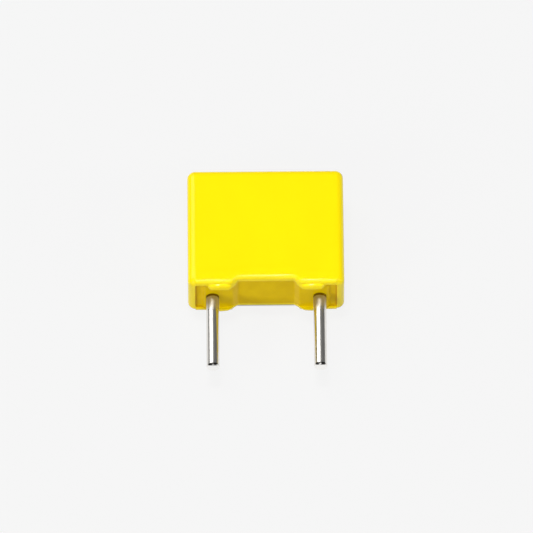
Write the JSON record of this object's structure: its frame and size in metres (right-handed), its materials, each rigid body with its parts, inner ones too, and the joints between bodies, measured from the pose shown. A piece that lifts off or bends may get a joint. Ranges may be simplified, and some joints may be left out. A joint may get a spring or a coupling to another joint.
{
  "type": "film capacitor",
  "caption": "Small boxed film capacitor: moulded case with rounded edges and standoff feet, cast resin seal, pressed winding inside and straight round wire leads.",
  "frame": {"origin": "midway between the axes of the two leads, on the seating plane that the feet stand on", "axes": "lying on its back: +X along the row of leads, +Y towards the closed end, +Z out of the front face"},
  "size_m": [0.0074, 0.0102, 0.0024],
  "materials": {
    "case_plastic": "smooth moulded yellow plastic with a soft gloss",
    "sealing_resin": "cast yellow resin, glossy where it set against the air",
    "metallised_film": "pressed turns of metallised film, silvery",
    "sprayed_metal": "rough grey sprayed zinc",
    "tinned_wire": "bright drawn and tinned wire"
  },
  "bodies": {
    "root": {"case": "case_plastic", "sealing_resin": "sealing_resin", "film_winding": "metallised_film", "end_contact_left": "sprayed_metal", "end_contact_right": "sprayed_metal", "lead_left": "tinned_wire", "lead_right": "tinned_wire"}
  },
  "joints": []
}
